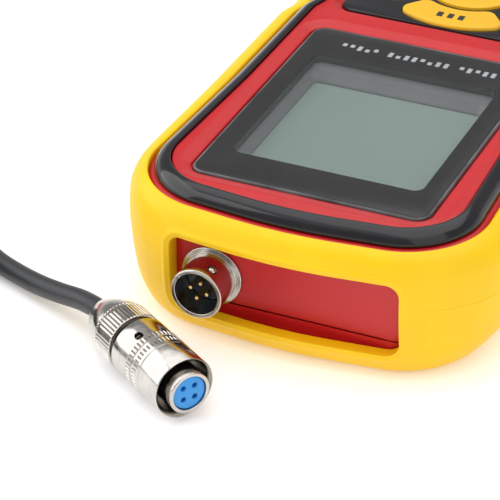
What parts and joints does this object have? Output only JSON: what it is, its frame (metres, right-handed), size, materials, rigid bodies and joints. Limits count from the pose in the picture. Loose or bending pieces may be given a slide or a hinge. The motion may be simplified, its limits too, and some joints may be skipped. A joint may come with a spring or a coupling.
{
  "type": "grain moisture meter",
  "caption": "Hand-held grain moisture meter in a yellow silicone boot, with a round key ring, an end socket, and a loose cord with a locking plug and a spear probe",
  "frame": {"origin": "middle of the meter's footprint, on the surface it lies on", "axes": "the socket end faces -Y, the display faces +Z, +X is to the right of a reader at the socket end"},
  "size_m": [0.1993, 0.2879, 0.0287],
  "materials": {
    "boot_silicone": "satin",
    "red_plastic": "satin",
    "black_gloss": "gloss",
    "lens_clear": "clear",
    "lens_print": "gloss",
    "frame_grey": "satin",
    "lcd_glass": "gloss",
    "diffuser_white": "matte",
    "dark_rubber": "matte",
    "key_yellow": "satin",
    "membrane_grey": "matte",
    "board_green": "satin",
    "chip_black": "matte",
    "screw_steel": "satin",
    "nickel": "polished",
    "gold": "polished",
    "insulator_dark": "satin",
    "insulator_blue": "satin",
    "wire_orange": "satin",
    "cell_blue": "gloss",
    "cord_rubber": "satin",
    "handle_red": "satin",
    "probe_steel": "satin",
    "ring_white": "satin"
  },
  "bodies": {
    "meter": {"boot": "boot_silicone", "front_shell": "red_plastic", "rear_shell": "red_plastic", "bezel_ring": "black_gloss", "display_lens": "lens_clear", "lens_print": "lens_print", "lcd_frame": "frame_grey", "lcd_panel": "lcd_glass", "lcd_backlight": "diffuser_white", "lcd_contact_strips": "dark_rubber", "keypad_panel": "black_gloss", "keypad_membrane": "membrane_grey", "main_board": "board_green", "board_parts": "chip_black", "buzzer": "chip_black", "board_screws": "screw_steel", "case_screws": "screw_steel", "socket_shell": "nickel", "socket_insulator": "insulator_dark", "socket_pins": "gold", "socket_ball": "nickel", "socket_nut": "nickel", "socket_leads": "wire_orange", "battery_cells": "cell_blue", "battery_contacts": "nickel", "plug_body": "nickel", "plug_insulator": "insulator_blue", "plug_contacts": "gold", "plug_spring": "screw_steel", "plug_nut": "nickel", "plug_clamp": "dark_rubber", "cord_lead": "cord_rubber", "cord_coil": "cord_rubber", "cord_tail": "cord_rubber", "cord_tie": "dark_rubber", "probe_relief": "dark_rubber", "probe_handle": "handle_red", "probe_cap": "dark_rubber", "probe_rod": "probe_steel", "probe_insulator": "ring_white", "probe_tip": "probe_steel"},
    "power_key": {"power_button": "key_yellow"},
    "set_key": {"set_button": "key_yellow"},
    "left_key": {"left_button": "key_yellow"},
    "right_key": {"right_button": "key_yellow"},
    "far_key": {"far_button": "key_yellow"},
    "door": {"battery_door": "red_plastic"},
    "sleeve": {"plug_sleeve": "nickel"}
  },
  "joints": [
    {"name": "power_key_press", "type": "slide", "parent": "meter", "child": "power_key", "axis": [0, 0, -1], "range_m": [0, 0.0006], "stiffness_N_per_m": 2500},
    {"name": "set_key_press", "type": "slide", "parent": "meter", "child": "set_key", "axis": [0, 0, -1], "range_m": [0, 0.0006], "stiffness_N_per_m": 2500},
    {"name": "left_key_press", "type": "slide", "parent": "meter", "child": "left_key", "axis": [0, 0, -1], "range_m": [0, 0.0006], "stiffness_N_per_m": 2500},
    {"name": "right_key_press", "type": "slide", "parent": "meter", "child": "right_key", "axis": [0, 0, -1], "range_m": [0, 0.0006], "stiffness_N_per_m": 2500},
    {"name": "far_key_press", "type": "slide", "parent": "meter", "child": "far_key", "axis": [0, 0, -1], "range_m": [0, 0.0006], "stiffness_N_per_m": 2500},
    {"name": "door_hinge", "type": "hinge", "parent": "meter", "child": "door", "pos_m": [0, 0.07235, 0.0024], "axis": [1, 0, 0], "range_deg": [0, 55]},
    {"name": "sleeve_pull", "type": "slide", "parent": "meter", "child": "sleeve", "axis": [-0.829, 0.5592, 0], "range_m": [0, 0.0009], "stiffness_N_per_m": 1500}
  ]
}
